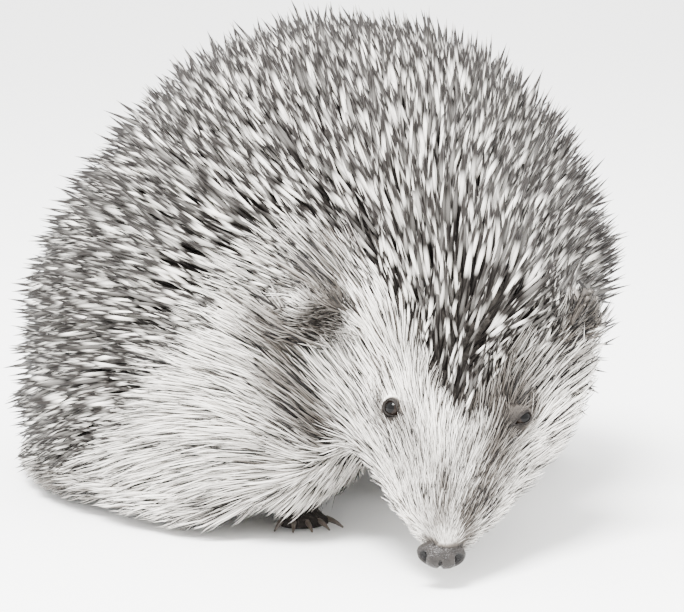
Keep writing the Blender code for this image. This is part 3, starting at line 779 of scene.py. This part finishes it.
def feed(value, shader, socket="Base Color"):
    value.tree.links.new(value.socket, shader.inputs[socket])


def bumped(height, shader, depth):
    bump = height.node("ShaderNodeBump", {},
                       {"Height": height, "Distance": depth, "Strength": 1.0})
    feed(bump, shader, "Normal")


SOOT = (0.009, 0.0078, 0.0072)
UMBER = (0.015, 0.0130, 0.0117)
UNDER_SPINES = (0.050, 0.044, 0.039)
EARTH = (0.095, 0.082, 0.070)
CREAM = (0.88, 0.845, 0.79)


def coat_colour(share):
    """Soot to earth to cream, as the share goes from 0 to 1."""
    deep = blend_colours(share.ramp(-0.05, 0.30), SOOT, EARTH)
    return blend_colours(share.ramp(0.20, 0.95), deep, CREAM)


def skin_finish():
    material, tree, shader = start_finish("hide", 0.75, IOR=1.25)
    pale = attribute(tree, "pale")
    share = pale + (noise(tree, 600.0) - 0.5) * 0.35 * pale.ramp(0.0, 0.25)
    fur = coat_colour(share)
    under = blend_colours(attribute(tree, "spiny"), fur, UNDER_SPINES)
    feed(under, shader)
    bumped(noise(tree, 1500.0), shader, 0.0004)
    return material


skin.data.materials.clear()
skin.data.materials.append(skin_finish())
skin.data.shade_smooth()
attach(skin, "root")
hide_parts(*FLESH)


# ---- The eyes
# Small, round and nearly black, with a wet shine. Each is a ball with a bulging cornea, set
# in the skull behind the lids.

CORNEA_BULGE = 0.07
CORNEA_SPREAD = 0.36
PUPIL = (0.001, 0.001, 0.001)
IRIS_DARK = (0.003, 0.002, 0.0015)
IRIS_PALE = (0.016, 0.010, 0.007)
PUPIL_EDGE = (0.42, 0.52)


def eye_finish():
    material, tree, shader = start_finish("wet_eye", 0.03, IOR=1.22)
    pupil = attribute(tree, "pupil")
    rays = noise(tree, 2600.0)
    iris = blend_colours(rays, IRIS_DARK, IRIS_PALE)
    feed(blend_colours(pupil.ramp(*PUPIL_EDGE), iris, PUPIL), shader)
    return material


def build_eye(side):
    out, slit, over = eye_directions(side)
    shape = bmesh.new()
    bmesh.ops.create_uvsphere(shape, u_segments=48, v_segments=32, radius=1.0)
    pupil = shape.verts.layers.float.new("pupil")
    for vert in shape.verts:
        spot = vert.co.copy()
        swell = 1.0 + CORNEA_BULGE * math.exp(-(1.0 - spot.z) / CORNEA_SPREAD)
        vert[pupil] = max(0.0, 1.0 - math.hypot(spot.x, spot.y)) if spot.z > 0 else 0.0
        vert.co = ball_place(side) + (slit * spot.x + over * spot.y + out * spot.z) \
            * BALL_RADIUS * swell
    name = "eyeball_" + side
    return new_object(name, rounded_mesh(shape, name))


wet_eye = eye_finish()
for side in eye_places:
    eyeball = build_eye(side)
    eyeball.data.materials.append(wet_eye)
    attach(eyeball, "root")
    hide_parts("eye_" + side)


# ---- The nose
# A moist, black pad of pebbled leather at the end of the snout. A groove runs down its middle
# and a comma-shaped nostril opens to each side.

NOSTRIL_SPREAD = 0.84
NOSTRIL_DEPTH = 0.58
NOSTRIL_HEIGHT = 0.20
GROOVE_DEPTH = 0.22
GROOVE_WIDTH = 0.085
WING_SWELL = 0.05
# How much shade is painted towards the pad's underside.
UNDERSIDE_SHADE = 0.16
LEATHER_DARK = (0.0025, 0.0022, 0.0020)
LEATHER_PALE = (0.032, 0.0277, 0.0253)
# The near-black colour painted into the nostrils, the groove and the underside as shade.
HOLLOW_AND_UNDERSIDE_SHADE = (0.002, 0.0015, 0.0015)


def nose_shape(spot):
    """A unit ball's point moved to the pad's shape, and how much painted shade it takes: as deep
    as it lies in a nostril or the groove, and more towards the underside.
    """
    front = max(0.0, spot.y)
    side = 1.0 if spot.x > 0 else -1.0
    x, z = spot.x * side, spot.z
    groove = math.exp(-(x / GROOVE_WIDTH) ** 2) * front * smooth(np.array(0.85 - z), 0.0, 0.5)
    lift = z - NOSTRIL_HEIGHT
    curl = x - NOSTRIL_SPREAD + 0.6 * lift ** 2
    hollow = math.exp(-(curl / 0.13) ** 2 - (lift / 0.36) ** 2)
    hollow = hollow * smooth(np.array(spot.y), -0.1, 0.2)
    wing = math.exp(-((x - 0.95) / 0.20) ** 2 - ((z - 0.30) / 0.45) ** 2)
    pit = NOSTRIL_DEPTH * float(hollow) + GROOVE_DEPTH * float(groove)
    # Painted shade: the pad darkens towards its underside.
    under = UNDERSIDE_SHADE * float(smooth(np.array(-z), 0.30, 0.75))
    return spot * (1.0 - pit + WING_SWELL * wing), pit + under


def leather_finish():
    material, tree, shader = start_finish("nose_leather", 0.24, IOR=1.28)
    patches = noise(tree, 900.0, 2.0)
    leather = blend_colours(patches, LEATHER_DARK, LEATHER_PALE)
    # Painted shade: nostrils, groove and underside are blended to a near-black colour.
    deep = attribute(tree, "pit").ramp(0.03, 0.18)
    feed(blend_colours(deep, leather, HOLLOW_AND_UNDERSIDE_SHADE), shader)
    spot = add_node(tree, "ShaderNodeTexCoord", {}, {}, "Object")
    pebbles = add_node(tree, "ShaderNodeTexVoronoi", {"feature": "SMOOTH_F1"},
                       {"Vector": spot, "Scale": 3000.0}, "Distance")
    bumped(1.0 - pebbles, shader, 0.00022)
    return material


def build_nose():
    shape = bmesh.new()
    bmesh.ops.create_icosphere(shape, subdivisions=6, radius=1.0)
    shade_layer = shape.verts.layers.float.new("pit")
    for vert in shape.verts:
        shaped, vert[shade_layer] = nose_shape(vert.co)
        vert.co = pad_place + head_left * shaped.x * PAD_SIZE.x \
            + head_ahead * shaped.y * PAD_SIZE.y + head_crown * shaped.z * PAD_SIZE.z
    return new_object("nose_pad", rounded_mesh(shape, "nose_pad"))


nose_pad = build_nose()
nose_pad.data.materials.append(leather_finish())
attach(nose_pad, "root")
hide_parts("nose")


# ---- The claws
# Curved solid horn, dark brown with paler streaks, one grown into each toe. They keep the
# shape they have and only take their finish here.

HORN_DARK = (0.035, 0.029, 0.024)
HORN_PALE = (0.14, 0.115, 0.095)


def claw_finish():
    material, tree, shader = start_finish("claw_horn", 0.35)
    feed(blend_colours(noise(tree, 700.0), HORN_DARK, HORN_PALE), shader)
    return material


claw_horn = claw_finish()
for name, node in frame["nodes"].items():
    if "claw" in name:
        node.material_slots[0].material = claw_horn


# ---- How a coat piece is grown
# A tuft is a few tapering hairs from one root. A geometry tree sets tufts on one area of the
# skin, turned to the lie kept there, and makes them one plain mesh.

TUFT_PATCH = 0.003
MOST_ROOTS = 5.0e6


def hair(shape, root, tip, bend, width, sides, stations, place):
    """One tapering hair with a pole at either end. Place is its share of the tuft's patch."""
    leaf = shape.verts.layers.float_vector["leaf"]
    length = shape.verts.layers.float["along"]
    strand = shape.verts.layers.float["strand"]
    rings = []

    def vertex(share, turn, radius):
        middle = root.lerp(tip, share) + bend * share * share
        ring_x = Vector((math.cos(turn), math.sin(turn), 0.0)) * radius
        vert = shape.verts.new(middle + ring_x)
        vert[leaf] = (place[0] + place[1] * (turn / math.tau + 0.05), share, 0.0)
        vert[length] = share
        vert[strand] = place[2]
        return vert

    first = vertex(0.0, 0.0, 0.0)
    for share, thickness in stations:
        rings.append([vertex(share, math.tau * i / sides, width * thickness)
                      for i in range(sides)])
    last = vertex(1.0, 0.5, 0.0)
    for i in range(sides):
        j = (i + 1) % sides
        shape.faces.new((first, rings[0][j], rings[0][i]))
        for low, high in zip(rings, rings[1:]):
            shape.faces.new((low[i], low[j], high[j], high[i]))
        shape.faces.new((rings[-1][i], rings[-1][j], last))


def tuft_collection(name, kinds, hairs, spread, splay, bend, width, sides, stations, seed):
    """Several unlike tufts, each of unit length, pointing up Z and bent back along -Y."""
    collection = bpy.data.collections.new(name)
    bpy.context.scene.collection.children.link(collection)
    chance = np.random.default_rng(seed)
    for kind in range(kinds):
        shape = bmesh.new()
        shape.verts.layers.float_vector.new("leaf")
        shape.verts.layers.float.new("along")
        shape.verts.layers.float.new("strand")
        for i in range(hairs):
            turn = math.tau * (i + chance.uniform(0.0, 0.8)) / hairs
            out = Vector((math.cos(turn), math.sin(turn), 0.0)) if hairs > 1 else Vector()
            root = out * spread * chance.uniform(0.3, 1.0)
            tip = out * (spread + splay * chance.uniform(0.2, 1.0))
            tip.z = chance.uniform(0.75, 1.0) if hairs > 1 else 1.0
            sway, sag = chance.uniform(-0.4, 0.4), chance.uniform(0.6, 1.3)
            back = Vector((sway * bend, -bend * sag, 0.0))
            hair(shape, root, tip, back, width * chance.uniform(0.8, 1.15), sides, stations,
                 (i / hairs, 0.9 / hairs, chance.uniform()))
        mesh = finished_mesh(shape, f"{name}_{kind}")
        mesh.shade_smooth()
        tuft = bpy.data.objects.new(mesh.name, mesh)
        collection.objects.link(tuft)
        tuft.hide_render = True
    return collection


def coat_tree():
    """The tree that all coat pieces share, with named inputs for what differs."""
    tree = bpy.data.node_groups.new("coat", "GeometryNodeTree")
    wanted = (
        ("Skin", "Geometry"), ("Area", "String"), ("Lie", "String"), ("Reach", "String"),
        ("Spacing", "Float"), ("Stray", "Float"), ("Variation", "Float"), ("Seed", "Int"),
        ("Tufts", "Collection"), ("Finish", "Material"),
    )
    for name, kind in wanted:
        tree.interface.new_socket(name=name, in_out="INPUT", socket_type="NodeSocket" + kind)
    tree.interface.new_socket(name="Coat", in_out="OUTPUT", socket_type="NodeSocketGeometry")
    given = tree.nodes.new("NodeGroupInput")
    ask = {name: Value(tree, given.outputs[name]) for name, _ in wanted}

    def geometry(kind, values, **settings):
        return add_node(tree, "GeometryNode" + kind, settings, values)

    def vector_maths(operation, values):
        return add_node(tree, "ShaderNodeVectorMath", {"operation": operation}, values)

    def turned_to(values, **settings):
        return add_node(tree, "FunctionNodeAlignRotationToVector", settings, values)

    def named(name, kind):
        return geometry("InputNamedAttribute", {"Name": name}, data_type=kind)

    def chance(low, high, kind="FLOAT", step=0):
        first, output = {"FLOAT_VECTOR": (0, 0), "FLOAT": (2, 1), "INT": (4, 2)}[kind]
        return add_node(tree, "FunctionNodeRandomValue", {"data_type": kind},
                        {first: low, first + 1: high, "Seed": ask["Seed"] + step}, output)

    roots = geometry("DistributePointsOnFaces",
                     {"Mesh": ask["Skin"], "Distance Min": ask["Spacing"],
                      "Density Max": MOST_ROOTS, "Density Factor": named(ask["Area"], "FLOAT"),
                      "Seed": ask["Seed"]}, distribute_method="POISSON")
    outwards = Value(tree, roots.socket.node.outputs["Normal"])
    toned = geometry("StoreNamedAttribute",
                     {"Geometry": roots, "Name": "tone", "Value": chance(0.0, 1.0, step=1)},
                     data_type="FLOAT", domain="POINT")
    anywhere = chance((-1.0,) * 3, (1.0,) * 3, "FLOAT_VECTOR", 2)
    stray = vector_maths("SCALE", {0: anywhere, "Scale": ask["Stray"]})
    leaning = vector_maths("ADD", {0: named(ask["Lie"], "FLOAT_VECTOR"), 1: stray})
    upright = turned_to({"Vector": leaning}, axis="Z")
    turned = turned_to({"Rotation": upright, "Vector": outwards}, axis="Y", pivot_axis="Z")
    size = named(ask["Reach"], "FLOAT") * (1.0 + ask["Variation"] * chance(-1.0, 1.0, step=3))
    kinds = geometry("CollectionInfo", {"Collection": ask["Tufts"], "Separate Children": True,
                                        "Reset Children": True})
    placed = geometry("InstanceOnPoints",
                      {"Points": toned, "Instance": kinds, "Pick Instance": True,
                       "Instance Index": chance(0, 1000, "INT", 4), "Rotation": turned,
                       "Scale": size})
    grown = geometry("RealizeInstances", {"Geometry": placed})
    patch = vector_maths("MULTIPLY_ADD",
                         {0: named("leaf", "FLOAT_VECTOR"), 1: (TUFT_PATCH,) * 3,
                          2: named("OFBake", "FLOAT_VECTOR")})
    mapped = geometry("StoreNamedAttribute",
                      {"Geometry": grown, "Name": "OFBake", "Value": patch},
                      data_type="FLOAT2", domain="CORNER")
    finished = geometry("SetMaterial", {"Geometry": mapped, "Material": ask["Finish"]})
    leave = tree.nodes.new("NodeGroupOutput")
    tree.links.new(finished.socket, leave.inputs["Coat"])
    return tree


FLOOR_EASE = 0.0015
HELD_REACH = 0.030
HEM_EASE = 0.0032
FACE_EASE = 0.0012


def held_in(places):
    """Places drawn back so that hair follows the outline instead of standing off it."""
    held = places.copy()
    ease = FACE_EASE + (HEM_EASE - FACE_EASE) * smooth(places[:, 1], -0.090, -0.060)
    for i, place in enumerate(places):
        found = outline.find_nearest(Vector(place), HELD_REACH)
        if found[0] is not None and (Vector(place) - found[0]).dot(found[1]) > 0:
            past = ease[i] * (1.0 - math.exp(-found[3] / ease[i]))
            held[i] = found[0] + found[1] * past
    return held


COAT_TREE = coat_tree()
KEPT_ON_COAT = {"tone", "along", "strand", "pale", "position", "sharp_face", "OFBake",
                "material_index"}


def grow(name, slot, **inputs):
    """Grow one coat piece on the skin and leave it as a plain mesh."""
    coat = new_object(name, skin.data)
    growth = coat.modifiers.new("coat", "NODES")
    growth.node_group = COAT_TREE
    sockets = {item.name: item.identifier for item in COAT_TREE.interface.items_tree
               if item.in_out == "INPUT"}
    for key, value in inputs.items():
        growth[sockets[key]] = value
    mesh = baked_mesh(coat)
    coat.data = mesh
    places = vertex_places(mesh)
    if slot == "fur":
        places = held_in(places)
    low = np.minimum(places[:, 2], FLOOR_EASE)
    places[:, 2] += FLOOR_EASE * np.exp(low / FLOOR_EASE - 1.0) - low
    set_places(mesh, places)
    for field in [a.name for a in mesh.attributes
                  if a.name not in KEPT_ON_COAT and not a.name.startswith(".")]:
        mesh.attributes.remove(mesh.attributes[field])
    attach(coat, "root")
    return coat


# ---- The spines
# Smooth, stiff spines of horn, each dark at root and tip with a cream middle. They grow
# from the back and brow only, some eleven thousand of them, and lean away from the face.

SPINE_STATIONS = ((0.04, 0.5), (0.32, 0.92), (0.56, 1.0), (0.80, 0.60))
spine_kinds = tuft_collection("spine", kinds=4, hairs=1, spread=0.0, splay=0.0, bend=0.09,
                              width=0.0245, sides=5, stations=SPINE_STATIONS, seed=11)


# Where along a spine the cream starts, where it ends and where the worn tip starts.
CREAM_FROM = (0.35, 0.47)
CREAM_TO = (0.58, 0.75)
TIP_FROM = (0.88, 0.96)
TIP_PALE = 0.38


def spine_finish():
    material, tree, shader = start_finish("spine_horn", 0.42, IOR=1.22)
    along = attribute(tree, "along")
    tone = attribute(tree, "tone")
    shift = (tone - 0.5) * 0.12
    band = (along + shift).ramp(*CREAM_FROM) * (1.0 - (along + shift).ramp(*CREAM_TO))
    # The spines take the markings too, with their painted shade.
    bright = 0.08 + 0.92 * (tone + (attribute(tree, "pale") - PLAIN_PALE) * 0.4).ramp(0.28, 0.60)
    tip = (along + shift).ramp(*TIP_FROM) * TIP_PALE
    share = band * bright + tip
    feed(blend_colours(share, UMBER, CREAM), shader)
    return material


spine_horn = spine_finish()
for area, seed in (("left", 3), ("right", 4), ("rear_left", 5), ("rear_right", 6)):
    grow("spines_" + area, "spines", Area="spines_" + area, Lie="spine_lie", Reach="spine_reach",
         Spacing=0.00160, Stray=0.24, Variation=0.17, Seed=seed, Tufts=spine_kinds,
         Finish=spine_horn)


# ---- The fur
# Coarse pale hair: long over neck and flanks, shorter on cheeks and brow, shortest on the
# snout, ears and feet. It is darker round eyes and nose, and painted darker as shade round the
# ears, down the neck crease and low at the rear.

HAIR_FORM = {"kinds": 6, "sides": 3, "stations": ((0.06, 0.8), (0.45, 1.0), (0.80, 0.6))}
close_tufts = tuft_collection("close", hairs=4, spread=0.16, splay=0.12, bend=0.10,
                              width=0.026, seed=23, **HAIR_FORM)
long_tufts = tuft_collection("long", hairs=5, spread=0.075, splay=-0.045, bend=0.12,
                             width=0.0100, seed=21, **HAIR_FORM)
short_tufts = tuft_collection("short", hairs=4, spread=0.10, splay=0.10, bend=0.07,
                              width=0.0165, seed=22, **HAIR_FORM)

# About a quarter of the hairs are darker by this much.
DARK_HAIRS = (0.20, 0.29)
DARK_DEPTH = 0.70


def fur_finish():
    material, tree, shader = start_finish("coarse_hair", 0.6, IOR=1.30)
    along = attribute(tree, "along")
    tone = (attribute(tree, "tone") + attribute(tree, "strand")).maths("FRACT")
    dark_hairs = (1.0 - tone.ramp(*DARK_HAIRS)) * DARK_DEPTH
    share = attribute(tree, "pale") + (tone - 0.4) * 0.40 + (along - 0.5) * 0.15 - dark_hairs
    feed(coat_colour(share), shader)
    return material


coarse_hair = fur_finish()
for name, spacing, tufts, stray, seed in (
        ("flank_left", 0.0013, long_tufts, 0.12, 31),
        ("flank_right", 0.0011, long_tufts, 0.12, 32),
        ("belly", 0.0027, long_tufts, 0.2, 33),
        ("face_left", 0.00085, short_tufts, 0.12, 34),
        ("face_right", 0.00085, short_tufts, 0.12, 35),
        ("snout", 0.00062, close_tufts, 0.12, 37),
        ("ears", 0.00070, close_tufts, 0.16, 38),
        ("limbs", 0.0012, short_tufts, 0.16, 36)):
    grow("fur_" + name, "fur", Area=name, Lie="fur_lie", Reach="fur_reach", Spacing=spacing,
         Stray=stray, Variation=0.25, Seed=seed, Tufts=tufts, Finish=coarse_hair)

for collection in (spine_kinds, close_tufts, long_tufts, short_tufts):
    for tuft in list(collection.objects):
        bpy.data.objects.remove(tuft)
    bpy.data.collections.remove(collection)


# ---- The camera, the floor and the light
# The camera stands ahead of the animal's right shoulder and a little above it. A pale paper
# floor and an even sky light it softly, and one broad lamp from its right draws the shadow.

CAMERA_TURN = math.radians(-27.0)
CAMERA_TILT = math.radians(8.0)
CAMERA_DISTANCE = 0.80
CAMERA_LENS = 155.8
CAMERA_TARGET = Vector((0.0, 0.01326, 0.045))
CAMERA_OFFSET = (0.005135, 0.002703)
FLOOR_HALF = 9.0
PAPER_WHITE = (0.93, 0.93, 0.92, 1.0)
SKY_STRENGTH = 4.1
KEY_PLACE = (-0.50, -0.45, 1.18)
KEY_SIZE = 0.55
KEY_POWER = 90.0


def make_camera():
    lens = bpy.data.cameras.new("camera")
    lens.lens = CAMERA_LENS
    right = Vector((math.cos(CAMERA_TURN), math.sin(CAMERA_TURN), 0.0))
    level = Vector((math.sin(CAMERA_TURN), -math.cos(CAMERA_TURN), 0.0))
    back = level * math.cos(CAMERA_TILT) + Vector((0.0, 0.0, math.sin(CAMERA_TILT)))
    rise = back.cross(right)
    camera = new_object("camera", lens)
    camera.location = CAMERA_TARGET + right * CAMERA_OFFSET[0] + rise * CAMERA_OFFSET[1] \
        + back * CAMERA_DISTANCE
    camera.rotation_euler = Matrix((right, rise, back)).transposed().to_euler()
    bpy.context.scene.camera = camera


def make_floor():
    shape = bmesh.new()
    bmesh.ops.create_grid(shape, size=FLOOR_HALF)
    mesh = finished_mesh(shape, "floor")
    floor = new_object("floor", mesh)
    paper, _, shader = start_finish("paper", 0.9)
    shader.inputs["Base Color"].default_value = PAPER_WHITE
    mesh.materials.append(paper)


def light_scene():
    sky = bpy.data.worlds.new("sky")
    sky.use_nodes = True
    glow = sky.node_tree.nodes["Background"]
    glow.inputs["Color"].default_value = (1.0, 1.0, 1.0, 1.0)
    glow.inputs["Strength"].default_value = SKY_STRENGTH
    bpy.context.scene.world = sky
    lamp = bpy.data.lights.new("key", "AREA")
    lamp.size = KEY_SIZE
    lamp.energy = KEY_POWER
    key = new_object("key", lamp)
    key.location = KEY_PLACE
    aim = CAMERA_TARGET - key.location
    key.rotation_euler = aim.to_track_quat("-Z", "Y").to_euler()


make_camera()
make_floor()
light_scene()
